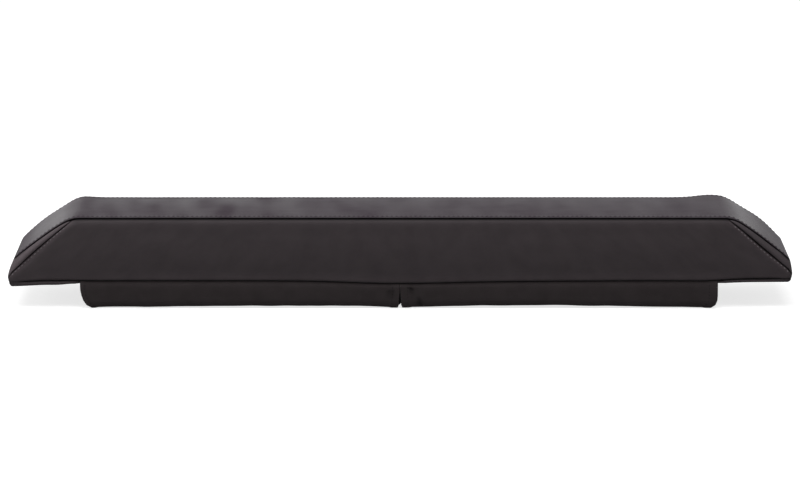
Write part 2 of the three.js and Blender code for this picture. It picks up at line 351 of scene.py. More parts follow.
def top_height(x):
    """Height of the top panel's profile at x: the flat top and the two ramps, which swell a little."""
    side = side_of(x)
    run = FOOT_X[side] - HEAD_X[side]
    rise = TOP_HEIGHT - FOOT_HEIGHT[side]
    down = (abs(x) - HEAD_X[side]) / run
    ramp = TOP_HEIGHT - rise * down
    ramp += 4 * RAMP_SWELL[side] * max(down, 0) * max(1 - down, 0)
    gap = min(max(0.5 + 0.5 * (ramp - TOP_HEIGHT) / SHOULDER_BLEND, 0), 1)
    return mix(ramp, TOP_HEIGHT, gap) - SHOULDER_BLEND * gap * (1 - gap)


def top_slope(x):
    step = 0.0005
    return (top_height(x + step) - top_height(x - step)) / (2 * step)


def nose_reach(side, height):
    """How far the nose reaches from the middle at a height."""
    belly = BELLY_HEIGHT[side]
    if height < belly:
        below = (belly - max(height, 0)) / belly
        return HALF_LENGTH - BASE_CORNER * (1 - math.sqrt(max(1 - below * below, 0)))
    above = min((height - belly) / (FOOT_HEIGHT[side] - belly), 1)
    return HALF_LENGTH - (HALF_LENGTH - FOOT_X[side]) * above**NOSE_CURVE


def droop(x, height):
    """How much the soft body departs from its plain shape: it sags in the middle and its ends differ."""
    side = side_of(x)
    end = END_RISE[side] * smooth_step(*RISE_RUN[side], abs(x))
    end -= END_DROOP[side] * smooth_step(*DROOP_RUN, abs(x))
    sag = MIDDLE_SAG * math.exp(-((x / SAG_RUN[side]) ** 2)) + BASE_WAVE * swirl(x, 0, BASE_WAVE_SIZE, 3)
    belly = END_BELLY[side] * smooth_step(*BELLY_RUN, abs(x)) * (1 - smooth_step(0, BASE_SEAM, height))
    return (end - sag) * (1 - smooth_step(0, DROOP_TOP, height)) - belly


def base_reach(height, power):
    """How far the base's edge stands out at a height: a quarter of a circle for a power of 2, or squarer."""
    up = 1 - min(max(height / BASE_EDGE_RADIUS, 0), 1)
    return BASE_EDGE_RADIUS * (1 - up**power) ** (1 / power)


def edge_tuck(x, height):
    """How far the wall is drawn in near its upper and lower edges, which are rounded."""
    slope = top_slope(x)
    from_top = (top_height(x) - height) / math.sqrt(1 + slope * slope)
    above = min(max(ROLL_HEIGHT + SEAM_DROP - from_top, 0), ROLL_HEIGHT)
    bend = min(above / ROLL_BEND, 1)
    tuck_above = ROLL_LEAN * (ROLL_BEND * (bend**3 - bend**4 / 2) + max(above - ROLL_BEND, 0))
    return tuck_above + BASE_EDGE_RADIUS - base_reach(height, EDGE_SQUARENESS)


def place(x, y, height):
    return Vector((x, y, UNDERSIDE + height + droop(x, height)))


def corner_radius(side, height):
    """Radius of the nose's upright edge at a height."""
    up = smooth_step(BELLY_HEIGHT[side], FOOT_HEIGHT[side], height)
    return mix(BELLY_CORNER_RADIUS, FOOT_CORNER_RADIUS, up)


def wall_point(face, reach, height):
    """A point on the side wall. reach runs along the wall from the middle and on round the vertical edge.
    face is -1 for the front and 1 for the back."""
    side = side_of(reach)
    radius = corner_radius(side, height)
    corner = nose_reach(side, height) - radius
    past = abs(reach) - corner
    if past <= 0:
        return place(reach, face * (HALF_WIDTH - edge_tuck(reach, height)), height)
    angle = past / radius
    if angle <= math.pi / 2:
        x = corner + radius * math.sin(angle)
        y = HALF_WIDTH - radius + (radius - edge_tuck(side * corner, height)) * math.cos(angle)
        return place(side * x, face * y, height)
    along = past - radius * math.pi / 2
    return place(side * (corner + radius), face * (HALF_WIDTH - radius - along), height)


def top_seam_height(x):
    slope = top_slope(x)
    return top_height(x) - SEAM_DROP * math.sqrt(1 + slope * slope)


def slant_height(side, x):
    """The slanting seam, from the head of the ramp to the nose's vertical edge."""
    return SLANT_FOOT[side] + (HALF_LENGTH - abs(x)) * SLANT_RISE


def wall_corner(side, height):
    """Where the side wall starts to turn into the nose."""
    return nose_reach(side, height) - corner_radius(side, height)


def slant_corner(side):
    """Where the slanting seam reaches that turn."""
    x = HALF_LENGTH - BELLY_CORNER_RADIUS
    for _ in range(8):
        x = wall_corner(side, slant_height(side, x))
    return x


def ear_tip(side):
    """Where the slanting seam leaves the top panel's seam."""
    inner, outer = (HEAD_X[side] + apart for apart in TIP_BESIDE_HEAD)
    for _ in range(24):
        x = (inner + outer) / 2
        if slant_height(side, x) > top_seam_height(side * x):
            inner = x
        else:
            outer = x
    return outer


def turn_height(side, share):
    """Height of the seam for a share of the turn: it drops to the base seam."""
    return mix(slant_height(side, slant_corner(side)), BASE_SEAM, share**SEAM_TURN_POWER)


def slant_reach(side, height):
    """Where the side panel ends at a height: on the slanting seam, and round the turn below it."""
    corner = slant_corner(side)
    corner_height = slant_height(side, corner)
    if height >= corner_height:
        return HALF_LENGTH - (height - SLANT_FOOT[side]) / SLANT_RISE
    share = ((corner_height - height) / (corner_height - BASE_SEAM)) ** (1 / SEAM_TURN_POWER)
    return wall_corner(side, height) + share * corner_radius(side, height) * math.pi / 2


# Grids of cloth


def stops(length):
    """Places along an edge: close together near both seams, and evenly spaced between them."""
    fine = SEAM_STOPS[-1]
    if length <= SEAM_ROOM * fine:
        scale = length / (SEAM_ROOM * fine)
        near = [stop * scale for stop in SEAM_STOPS]
    else:
        near = list(SEAM_STOPS)
    start = near[-1]
    cells = max(round((length - 2 * start) / CELL), 1)
    middle = [start + (length - 2 * start) * i / cells for i in range(1, cells)]
    return near + middle + [length - stop for stop in reversed(near)]


def shares(length):
    return [stop / length for stop in stops(length)]


def cloth_grid(width, length, point, outward):
    """A grid of cloth whose vertex for shares u and v lies at point(u, v), and whose faces look outward.

    Its own map, in metres, is what the weave follows."""
    across = shares(width)
    along = shares(length)
    sheet = bmesh.new()
    # values the material reads: painted shade in the seams, and painted highlights
    sheet.verts.layers.float.new("seam_shade")
    sheet.verts.layers.float.new("painted_light")
    bmesh.ops.create_grid(sheet, x_segments=len(across) - 1, y_segments=len(along) - 1, size=0.5)
    last_column = len(across) - 1
    last_row = len(along) - 1
    shares_of = {}
    for vert in sheet.verts:
        u = across[round((vert.co.x + 0.5) * last_column)]
        v = along[round((vert.co.y + 0.5) * last_row)]
        shares_of[vert] = (u, v)
        vert.co = point(u, v)
    sheet.normal_update()
    middle = min(sheet.faces, key=lambda face: abs(shares_of[face.verts[0]][0] - 0.5)
                 + abs(shares_of[face.verts[0]][1] - 0.5))
    if middle.normal.dot(Vector(outward)) < 0:
        bmesh.ops.reverse_faces(sheet, faces=sheet.faces)
        sheet.normal_update()
    layer = sheet.loops.layers.uv.new("cloth")
    for face in sheet.faces:
        for loop in face.loops:
            u, v = shares_of[loop.vert]
            loop[layer].uv = (u * width, v * length)
    return sheet, shares_of


def at_nose(co):
    """0 on the body, 1 round its noses."""
    return smooth_step(*NOSE_START, abs(co.x))


def seam_depth(co):
    """The seams are drawn in less round the noses."""
    return mix(SEAM_DEPTH, NOSE_SEAM_DEPTH, at_nose(co))


# How the foam fills the cover out


def near_seam(co):
    """True within reach of a seam, or on the underside, where the cover is held."""
    height = co.z - UNDERSIDE
    if height < PUFF_HELD:
        return True
    side = side_of(co.x)
    below_top = top_height(co.x) - height
    if HALF_WIDTH - abs(co.y) < PUFF_HELD + SEAM_INSET and below_top < PUFF_HELD + SEAM_DROP:
        return True
    at_side = abs(co.y) > HALF_WIDTH - PUFF_HELD - CLOTH
    if at_side and abs(height - slant_height(side, co.x)) < PUFF_HELD:
        return True
    return abs(co.x) > wall_corner(side, height) and abs(height - FOOT_HEIGHT[side]) < PUFF_HELD


def puff_cover():
    """Blows a copy of the body up between its seams, as cloth.

    Gives the copy's shape at rest and how its points moved."""
    body = bmesh.new()
    body.from_mesh(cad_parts["foam_core"].data)
    bmesh.ops.remove_doubles(body, verts=body.verts, dist=MERGED)
    data = bpy.data.meshes.new("cover at rest")
    body.to_mesh(data)
    body.free()
    cover = add_object("cover at rest", data)
    even = cover.modifiers.new("even mesh", "REMESH")
    even.mode = "VOXEL"
    even.voxel_size = PUFF_VOXEL
    rest = bpy.data.meshes.new_from_object(cover.evaluated_get(bpy.context.evaluated_depsgraph_get()))
    cover.modifiers.remove(even)
    cover.data = rest
    bpy.data.meshes.remove(data)
    held = cover.vertex_groups.new(name="held")
    held.add([vert.index for vert in rest.vertices if near_seam(vert.co)], 1.0, "REPLACE")
    cloth = cover.modifiers.new("cloth", "CLOTH")
    cloth.settings.quality = PUFF_QUALITY
    cloth.settings.mass = PUFF_MASS
    cloth.settings.tension_stiffness = PUFF_STIFFNESS
    cloth.settings.compression_stiffness = PUFF_STIFFNESS
    cloth.settings.shear_stiffness = PUFF_STIFFNESS / 3
    cloth.settings.bending_stiffness = PUFF_BENDING
    cloth.settings.air_damping = PUFF_AIR
    cloth.settings.vertex_group_mass = "held"
    cloth.settings.use_pressure = True
    cloth.settings.uniform_pressure_force = PUFF_PRESSURE
    cloth.settings.effector_weights.gravity = 0
    cloth.collision_settings.use_collision = False
    cloth.collision_settings.use_self_collision = False
    for step in range(1, PUFF_FRAMES + 1):
        bpy.context.scene.frame_set(step)
    blown = cover.evaluated_get(bpy.context.evaluated_depsgraph_get()).to_mesh()
    moves = [Vector(a.co - b.co) for a, b in zip(blown.vertices, rest.vertices)]
    corners = [tuple(face.vertices) for face in rest.polygons]
    places = [vert.co.copy() for vert in rest.vertices]
    rest_tree = BVHTree.FromPolygons(places, corners)
    bpy.context.scene.frame_set(1)
    bpy.data.objects.remove(cover)
    bpy.data.meshes.remove(rest)
    return rest_tree, corners, places, moves


def puff_at(co):
    """How far the blown-up cover moved near a point, capped."""
    tree, corners, places, moves = puffed
    _, _, face, _ = tree.find_nearest(co)
    total = Vector()
    weight = 0
    for index in corners[face]:
        near = 1 / ((places[index] - co).length + PUFF_NEAREST)
        total += moves[index] * near
        weight += near
    move = total / weight
    if move.length > PUFF_CAP:
        move.length = PUFF_CAP
    return move


puffed = puff_cover()


def shape_cloth(sheet, shares_of, width, length, crown, ripple, reach=SEAM_REACH, shade_reach=SHADE_REACH,
                top_shade=SHADE_REACH, end_share=1, span=None, roll=None, highlight_of=None):
    """Crowns a panel between its seams, draws its edges into them and adds its own ripples.

    end_share is the distance from a slanting end over that along the panel, span(u) is the panel's true
    length at u, roll(u, v) is how far it falls towards a slanting seam, and highlight_of(u, v) how much
    painted highlight it gets. Painted shade goes into its seams' valleys."""
    shade = sheet.verts.layers.float["seam_shade"]
    highlight = sheet.verts.layers.float["painted_light"]
    moves = {}
    for vert, (u, v) in shares_of.items():
        local = span(u) if span else length
        to_edge = min(u * width * end_share, (1 - u) * width * end_share, v * local, (1 - v) * local)
        short = min(width, length)
        other = min(u, 1 - u) * width if short == length else min(v, 1 - v) * length
        share = v if short == length else u
        arch = math.sin(math.pi * share) ** CROWN_CURVE * smooth_step(0, 0.5 * short, other)
        rolled = roll(u, v) * (1 - at_nose(vert.co)) if roll else 0
        # painted highlight, where the cloth would catch the light
        vert[highlight] = highlight_of(u, v) if highlight_of else 0
        valley = max(seam_depth(vert.co) - rolled, 0) * math.exp(-((to_edge / reach) ** VALLEY_CURVE))
        to_top = (1 - v) * local
        room = EAR_SHADE * local + LEAST_SHADE
        # painted shade along the seams' valleys, and under the top seam
        vert[shade] = max(math.exp(-((to_edge / min(shade_reach, room)) ** SHADE_CURVE)),
                          math.exp(-((to_top / min(top_shade, room)) ** SHADE_CURVE)))
        # the painted shade fades along the lower seam beside the sleeve
        low = 1 - smooth_step(0, SHADE_FADE_HEIGHT, vert.co.z - UNDERSIDE - BASE_SEAM)
        vert[shade] *= 1 - END_SEAM_FADE * low * smooth_step(*SLEEVE_EDGE, abs(vert.co.x))
        fade = smooth_step(0, CROWN_START, to_edge)
        swell = crown * arch
        if puffed and crown:
            swell = mix(swell, puff_at(vert.co).dot(vert.normal), PUFF_SHARE * fade)
        swell *= 1 - NOSE_FLATNESS * smooth_step(*NOSE_FLAT_START, abs(vert.co.x))
        moves[vert] = vert.normal * (swell - rolled - valley + ripple(vert.co) * fade)
    for vert, move in moves.items():
        vert.co += move


def finish_piece(sheet, name, node, material, thickness=CLOTH):
    """Turns the mesh into a piece that stands for its CAD node, with the cloth's thickness inwards."""
    data = bpy.data.meshes.new(name)
    sheet.to_mesh(data)
    sheet.free()
    piece = add_object(name, data)
    for face in data.polygons:
        face.use_smooth = True
    data.materials.append(material)
    if thickness:
        wall = piece.modifiers.new("cloth thickness", "SOLIDIFY")
        wall.thickness = thickness
        wall.offset = -1
    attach(piece, "root")
    if node:
        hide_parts(node)
    return piece


# Materials


def new_material(name):
    material = bpy.data.materials.new(name)
    material.use_nodes = True
    return material, material.node_tree.nodes["Principled BSDF"]


def math_node(tree, operation, first, second=None):
    node = tree.nodes.new("ShaderNodeMath")
    node.operation = operation
    for socket, value in zip(node.inputs, (first, second)):
        if value is None:
            continue
        if isinstance(value, (int, float)):
            socket.default_value = value
        else:
            tree.links.new(value, socket)
    return node.outputs[0]


def times(tree, first, second):
    return math_node(tree, "MULTIPLY", first, second)


def plus(tree, first, second):
    return math_node(tree, "ADD", first, second)


def range_node(tree, value, run, levels=(0, 1), soft=False):
    """Maps a run of values to two levels, evenly or as a soft step."""
    node = tree.nodes.new("ShaderNodeMapRange")
    if soft:
        node.interpolation_type = "SMOOTHSTEP"
    for name, number in zip(("From Min", "From Max", "To Min", "To Max"), (*run, *levels)):
        node.inputs[name].default_value = number
    tree.links.new(value, node.inputs["Value"])
    return node.outputs["Result"]


def noise_node(tree, vector, scale, detail):
    node = tree.nodes.new("ShaderNodeTexNoise")
    node.inputs["Scale"].default_value = scale
    node.inputs["Detail"].default_value = detail
    tree.links.new(vector, node.inputs["Vector"])
    return node.outputs["Fac"]


def cloth_value(tree, name):
    """A value that the cloth's vertices carry."""
    node = tree.nodes.new("ShaderNodeAttribute")
    node.attribute_name = name
    return node.outputs["Fac"]


def tint_node(tree, share, colour, tint):
    """Mixes a share of a fixed colour into another."""
    node = tree.nodes.new("ShaderNodeMix")
    node.data_type = "RGBA"
    tree.links.new(share, node.inputs["Factor"])
    tree.links.new(colour, node.inputs["A"])
    node.inputs["B"].default_value = (*tint, 1)
    return node.outputs["Result"]


def add_bump(tree, shader, height, depth, strength):
    node = tree.nodes.new("ShaderNodeBump")
    node.inputs["Distance"].default_value = depth
    node.inputs["Strength"].default_value = strength
    tree.links.new(height, node.inputs["Height"])
    tree.links.new(node.outputs["Normal"], shader.inputs["Normal"])


def thread_height(group, along, across, pitch):
    """The height of the thread that lies on top in a plain weave."""
    warp = math_node(group, "DIVIDE", along, pitch)
    weft = math_node(group, "DIVIDE", across, pitch)
    backs = []
    for thread in (warp, weft):
        backs.append(math_node(group, "ABSOLUTE", math_node(group, "SINE", times(group, thread, math.pi))))
    cell = plus(group, math_node(group, "FLOOR", warp), math_node(group, "FLOOR", weft))
    over = math_node(group, "ABSOLUTE", math_node(group, "MODULO", cell, 2))
    under = math_node(group, "SUBTRACT", 1, over)
    return plus(group, times(group, backs[0], over), times(group, backs[1], under))


def long_bands(group, vector, along):
    """Long, soft bands of lighter and darker cloth: the painted sheen of the top's ripples."""
    long_way = group.nodes.new("ShaderNodeVectorMath")
    long_way.operation = "MULTIPLY"
    long_way.inputs[1].default_value = (1, BAND_LONG, 1)
    group.links.new(vector, long_way.inputs[0])
    bands = noise_node(group, long_way.outputs[0], BAND_SCALE, BAND_DETAIL)
    calmer = range_node(group, along, BAND_CALM, (1, BAND_CALM_SHARE))
    swing = times(group, math_node(group, "SUBTRACT", bands, BAND_LEVEL), calmer)
    for ramp in RAMP_BANDS:
        swing = times(group, swing, range_node(group, along, ramp))
    return swing


def ramp_painted_light(group, along):
    """How much painted light and shade the top's cloth gets at a distance along it: lighter at the ramps'
    heads, darker at their feet.
    """
    tones = group.nodes.new("ShaderNodeValToRGB")
    while len(tones.color_ramp.elements) < len(RAMP_PAINTED_LIGHT):
        tones.color_ramp.elements.new(0.5)
    for stop, (place_along, tone) in zip(tones.color_ramp.elements, RAMP_PAINTED_LIGHT):
        stop.position = place_along
        stop.color = (0.5 + tone, 0.5 + tone, 0.5 + tone, 1)
    group.links.new(along, tones.inputs[0])
    return math_node(group, "SUBTRACT", tones.outputs["Color"], 0.5)


def weave_group():
    """A plain weave: the height of its threads, its soft blotches of dye and wear, and its long bands of
    painted sheen with the ramps' painted light and shade.
    """
    group = bpy.data.node_groups.new("plain weave", "ShaderNodeTree")
    group.interface.new_socket("Vector", in_out="INPUT", socket_type="NodeSocketVector")
    group.interface.new_socket("Pitch", in_out="INPUT", socket_type="NodeSocketFloat")
    for name in ("Height", "Grain", "Bands"):
        group.interface.new_socket(name, in_out="OUTPUT", socket_type="NodeSocketFloat")
    start = group.nodes.new("NodeGroupInput")
    end = group.nodes.new("NodeGroupOutput")
    split = group.nodes.new("ShaderNodeSeparateXYZ")
    vector = start.outputs["Vector"]
    group.links.new(vector, split.inputs[0])
    along = split.outputs["X"]
    height = thread_height(group, along, split.outputs["Y"], start.outputs["Pitch"])
    group.links.new(height, end.inputs["Height"])
    group.links.new(noise_node(group, vector, BLOTCH_SCALE, BLOTCH_DETAIL), end.inputs["Grain"])
    # the long bands' painted sheen and the ramps' painted light and shade
    bands = plus(group, long_bands(group, vector, along), ramp_painted_light(group, along))
    group.links.new(bands, end.inputs["Bands"])
    return group


def cloth_map(tree):
    node = tree.nodes.new("ShaderNodeUVMap")
    node.uv_map = "cloth"
    return node.outputs["UV"]


def colour_between(tree, factor, dark, light):
    ramp = tree.nodes.new("ShaderNodeValToRGB")
    ramp.color_ramp.elements[0].position = 0.3
    ramp.color_ramp.elements[0].color = (*dark, 1)
    ramp.color_ramp.elements[1].position = 0.7
    ramp.color_ramp.elements[1].color = (*light, 1)
    tree.links.new(factor, ramp.inputs[0])
    return ramp.outputs[0]


def woven_material(name, pitch, colours, roughness, depth, sheen, shine, banded=0):
    """A fabric between a dark and a light colour. banded is how strongly it shows the long bands of painted
    sheen and the ramps' painted light and shade.
    """
    dark, light = colours
    material, shader = new_material(name)
    tree = material.node_tree
    threads = tree.nodes.new("ShaderNodeGroup")
    threads.node_tree = weave
    threads.inputs["Pitch"].default_value = pitch
    tree.links.new(cloth_map(tree), threads.inputs["Vector"])
    height = threads.outputs["Height"]
    bands = threads.outputs["Bands"]
    mixed = plus(tree, times(tree, height, THREAD_SHARE),
                 times(tree, threads.outputs["Grain"], 1 - THREAD_SHARE))
    if banded:
        # painted sheen and the ramps' painted light in the colour
        mixed = plus(tree, mixed, times(tree, bands, banded))
    rubbed = times(tree, bands, -BAND_SHINE * banded)
    # seam_shade is painted shade in the seams' valleys: it darkens the colour, makes the cloth metallic so
    # that it reflects nothing, and makes it rough
    seam = cloth_value(tree, "seam_shade")
    duller = math_node(tree, "MAXIMUM", plus(tree, rubbed, roughness), seam)
    tree.links.new(duller, shader.inputs["Roughness"])
    tree.links.new(seam, shader.inputs["Metallic"])
    # painted_light lightens the colour as a painted highlight, and seam_shade darkens it as painted shade
    highlighted = tint_node(tree, cloth_value(tree, "painted_light"), colour_between(tree, mixed, dark, light),
                        [HIGHLIGHT_GAIN * part for part in light])
    tree.links.new(tint_node(tree, seam, highlighted, SEAM_SHADE_COLOUR), shader.inputs["Base Color"])
    add_bump(tree, shader, height, depth, WEAVE_RELIEF)
    shader.inputs["Specular IOR Level"].default_value = shine
    shader.inputs["Sheen Weight"].default_value = sheen
    shader.inputs["Sheen Roughness"].default_value = SHEEN_ROUGHNESS
    return material


def plain_material(name, colour, roughness, scale, depth, shine=0.5):
    material, shader = new_material(name)
    tree = material.node_tree
    place_node = tree.nodes.new("ShaderNodeTexCoord")
    grain = noise_node(tree, place_node.outputs["Object"], scale, GRAIN_DETAIL)
    dark = tuple((1 - SPREAD) * part for part in colour)
    light = tuple((1 + SPREAD) * part for part in colour)
    tree.links.new(colour_between(tree, grain, dark, light), shader.inputs["Base Color"])
    add_bump(tree, shader, grain, depth, GRAIN_RELIEF)
    shader.inputs["Roughness"].default_value = roughness
    shader.inputs["Specular IOR Level"].default_value = shine
    return material


def coated_fabric():
    """The smooth satin of the top."""
    return woven_material("coated fabric", FINE_PITCH, COATED_COLOURS, roughness=0.40, depth=0.00004,
                          sheen=0.0, shine=0.42, banded=1.6)


def cover_fabric(name, colours):
    """The woven cloth of the sides and the base, and a copy painted lighter for the ends, for the light they
    catch.
    """
    return woven_material(name, COARSE_PITCH, colours, roughness=0.62, depth=0.00012, sheen=0.05, shine=0.3)


def flap_fabric():
    """The thinner, duller cloth of the sleeve."""
    return woven_material("flap fabric", COARSE_PITCH, FLAP_COLOURS, roughness=0.85, depth=0.00012,
                          sheen=0.04, shine=0.2)


def closed_foam():
    return plain_material("closed-cell foam", FOAM_COLOUR, roughness=0.9, scale=700, depth=0.0003)


def dark_thread():
    return plain_material("thread", THREAD_COLOUR, roughness=0.9, scale=3000, depth=0.00005, shine=0.1)


# a copy of the thread painted lighter, for the highlight along the slanting seams
def lit_side_thread():
    return plain_material("side thread painted lighter", SIDE_THREAD_LIT_COLOUR, roughness=0.8, scale=3000, depth=0.00005)


def nylon_hooks():
    return plain_material("nylon hooks", HOOK_COLOUR, roughness=0.5, scale=2500, depth=0.0004)


def brushed_loops():
    return plain_material("brushed loops", LOOP_COLOUR, roughness=1.0, scale=1500, depth=0.0004)


weave = weave_group()
coated = coated_fabric()
woven = cover_fabric("woven fabric", WOVEN_COLOURS)
flap_weave = flap_fabric()
foam_look = closed_foam()
# the end panels' cloth, painted lighter for the light they catch
lit_ear_weave = cover_fabric("end panel fabric painted lighter", EAR_LIT_COLOURS)
thread_look = dark_thread()
lit_side_thread_look = lit_side_thread()
hook_look = nylon_hooks()
loop_look = brushed_loops()


# The cover's panels


def top_ripple(co):
    """Soft waves across the top, stronger on the left."""
    strength = mix(*TOP_WAVE, smooth_step(*TOP_WAVE_CHANGE, co.x))
    wrinkle = WRINKLE_SHARE * swirl(co.x, WRINKLE_LONG * co.y, WRINKLE_SIZE, 2)
    return strength * (swirl(co.x, TOP_WAVE_LONG * co.y, TOP_WAVE_SIZE, 1) + wrinkle)


def rear_rise(x):
    """The back edge of the top stands up at its corners and on the ramps."""
    rise = 0
    for side in (-1, 1):
        rise += CORNER_RISE[side] * math.exp(-(((x - side * CORNER_PLACE[side]) / CORNER_RUN[side]) ** 2))
    side = side_of(x)
    down = min(max((abs(x) - HEAD_X[side]) / (FOOT_X[side] - HEAD_X[side]), 0), 1)
    return rise + REAR_SWELL[side] * math.sin(math.pi * down**REAR_SWELL_CURVE) ** 2


def side_ripple(co):
    return wave(SIDE_WAVE, co.x, co.z, 5) + wave(SIDE_WRINKLE, co.x, co.z, 6)


def profile_samples():
    """Lengths along the top's profile from the left foot to the right one, with their x."""
    count = 600
    left = -FOOT_X[-1]
    right = FOOT_X[1]
    samples = [(0.0, left)]
    length = 0.0
    for i in range(1, count + 1):
        x = mix(left, right, i / count)
        before = samples[-1][1]
        length += math.hypot(x - before, top_height(x) - top_height(before))
        samples.append((length, x))
    return samples


def x_at_length(samples, length):
    low = 0
    high = len(samples) - 1
    while high - low > 1:
        middle = (low + high) // 2
        if samples[middle][0] <= length:
            low = middle
        else:
            high = middle
    a, b = samples[low], samples[high]
    return mix(a[1], b[1], (length - a[0]) / (b[0] - a[0]))


def guide_line(count, spot):
    """A line for stitches, through spot(0) to spot(1)."""
    return [spot(i / count) for i in range(count + 1)]


def between_ends(length, share):
    """A place along a line of stitches, as a share of the panel's length."""
    return mix(STITCH_END, length - STITCH_END, share) / length


def build_top_panel():
    samples = profile_samples()
    length = samples[-1][0]
    flat_half = HALF_WIDTH - SEAM_INSET - TOP_LIP_RADIUS * math.sin(SEAM_TURN)
    half = flat_half + TOP_LIP_RADIUS * SEAM_TURN

    def point(u, v):
        x = x_at_length(samples, u * length)
        across = (2 * v - 1) * half
        past = max(abs(across) - flat_half, 0)
        angle = past / TOP_LIP_RADIUS
        slope = top_slope(x)
        lean = math.sqrt(1 + slope * slope)
        normal = Vector((-slope / lean, 0, 1 / lean))
        y = math.copysign(min(abs(across), flat_half) + TOP_LIP_RADIUS * math.sin(angle), across)
        spot = place(x, y, top_height(x)) - normal * TOP_LIP_RADIUS * (1 - math.cos(angle))
        spot.z += rear_rise(x) * smooth_step(0, HALF_WIDTH, y)
        return spot

    sheet, shares_of = cloth_grid(length, 2 * half, point, (0, 0, 1))
    shape_cloth(sheet, shares_of, length, 2 * half, TOP_CROWN, top_ripple, LIP_REACH, LIP_SHADE_REACH)
    guides = []
    for v in (TOPSTITCH_INSET / (2 * half), 1 - TOPSTITCH_INSET / (2 * half)):
        guides.append(guide_line(400, lambda share: point(between_ends(length, share), v)))
    tree = BVHTree.FromBMesh(sheet)
    piece = finish_piece(sheet, "top_panel_cover", "top_panel", coated)
    sew(guides, tree, "top_panel_stitches", TOP_STITCH)
    return piece


def build_side_panel(face, name, node):
    low = BASE_SEAM
    high = top_seam_height(0)
    tall = high - low
    wide = 2 * HALF_LENGTH
    tips = {side: ear_tip(side) for side in (-1, 1)}

    def point(u, v):
        ends = {}
        for side, tip in tips.items():
            ends[side] = side * slant_reach(side, mix(low, slant_height(side, tip), v))
        reach = mix(ends[-1], ends[1], u)
        height = mix(low, top_seam_height(mix(-tips[-1], tips[1], u)), v)
        spot = wall_point(face, reach, height)
        if face > 0:
            spot.z += rear_rise(reach) * smooth_step(REAR_LIFT_START * high, high, height)
        return spot

    sheet, shares_of = cloth_grid(wide, tall, point, (0, face, 0))
    square_to_slant = SLANT_RISE / math.hypot(1, SLANT_RISE)

    def roll(u, v):
        side = -1 if u < 0.5 else 1
        to_seam = min(u, 1 - u) * wide * square_to_slant
        return SLANT_ROLL[side] * math.exp(-((to_seam / SLANT_ROLL_REACH[side]) ** 2))

    # Painted highlight on the roll beside each slanting seam and in the band under the top seam, where the
    # cloth faces up to the light
    def highlight_of(u, v):
        side = -1 if u < 0.5 else 1
        apart = (min(u, 1 - u) * wide * square_to_slant - SLANT_HIGHLIGHT_PLACE) / SLANT_HIGHLIGHT_WIDTH[side]
        below = ((1 - v) * tall - BAND_PLACE) / BAND_WIDTH
        highlight = SLANT_HIGHLIGHT[side] * math.exp(-apart * apart) * smooth_step(*SLANT_HIGHLIGHT_START, v)
        return max(highlight, BAND_HIGHLIGHT * math.exp(-below * below))

    shape_cloth(sheet, shares_of, wide, tall, SIDE_CROWN, side_ripple, top_shade=UNDER_LIP_SHADE,
                end_share=square_to_slant, roll=roll, highlight_of=highlight_of)
    guides = []
    for u in (SLANT_STITCH_INSET / wide, 1 - SLANT_STITCH_INSET / wide):
        guides.append(guide_line(60, lambda share: point(u, mix(*SLANT_STITCH_RUN, share))))
    tree = BVHTree.FromBMesh(sheet)
    piece = finish_piece(sheet, name, node, woven)
    sew(guides, tree, name.replace("cover", "stitches"), SLANT_STITCH, lit_side_thread_look)
    return piece


def build_end_panel(side, name, node):
    tip = ear_tip(side) + EAR_TIP_GAP
    corner = slant_corner(side)
    ear = corner - tip
    turn = BELLY_CORNER_RADIUS * math.pi / 2
    nose = HALF_WIDTH - BELLY_CORNER_RADIUS
    half = ear + turn + nose
    tall = FOOT_HEIGHT[side] - BASE_SEAM
    foot_corner = wall_corner(side, FOOT_HEIGHT[side])

    def borders(reach):
        """The panel's lower and upper edges at a distance along it."""
        above = reach + (foot_corner - corner) * smooth_step(corner - EAR_TURN, corner, reach)
        if reach <= corner:
            return slant_height(side, reach), top_seam_height(side * above)
        share = min((reach - corner) / turn, 1)
        high = mix(top_seam_height(side * foot_corner), FOOT_HEIGHT[side] - NOSE_TOP_GAP, share)
        return turn_height(side, share), high

    def point(u, v):
        from_front = u * 2 * half
        face = -1 if from_front <= half else 1
        reach = tip + (from_front if face < 0 else 2 * half - from_front)
        low, high = borders(reach)
        height = mix(low, high, v)
        radius = corner_radius(side, height)
        here = wall_corner(side, height)
        if reach > corner + turn:
            reach = here + radius * math.pi / 2 + (reach - corner - turn) * (HALF_WIDTH - radius) / nose
        elif reach > corner:
            reach = here + radius * math.pi / 2 * (reach - corner) / turn
        else:
            reach += (here - corner) * smooth_step(corner - EAR_TURN, corner, reach) * v
        spot = wall_point(face, side * reach, height)
        if face > 0:
            share = (height - low) / max(high - low, 0.0001)
            spot.z += rear_rise(min(reach, corner) * side) * share
        return spot

    sheet, shares_of = cloth_grid(2 * half, tall, point, (side, 0, 0))

    def span(u):
        """The panel's height, square to its seams, at that share of its length."""
        reach = tip + min(u, 1 - u) * 2 * half
        low, high = borders(reach)
        square = mix(EAR_SQUARE, 1, smooth_step(corner, corner + turn, reach))
        return max(high - low, 0) * square

    def roll(u, v):
        return SLANT_ROLL[side] * math.exp(-((v * span(u) / EAR_ROLL_REACH) ** 2))

    # the end panels get an even painted highlight
    shape_cloth(sheet, shares_of, 2 * half, tall, EAR_CROWN, side_ripple, top_shade=UNDER_LIP_SHADE,
                span=span, roll=roll, highlight_of=lambda u, v: EAR_HIGHLIGHT[side])
    piece = finish_piece(sheet, name, node, lit_ear_weave)
    return piece


def base_roll_height(share):
    """Height on the base panel's rolled edge, for a share from 0 at its foot to 1 at the seam."""
    full = math.acos((1 - BASE_SEAM / BASE_EDGE_RADIUS) ** (EDGE_SQUARENESS / 2))
    return BASE_EDGE_RADIUS * (1 - math.cos(share * full) ** (2 / EDGE_SQUARENESS))


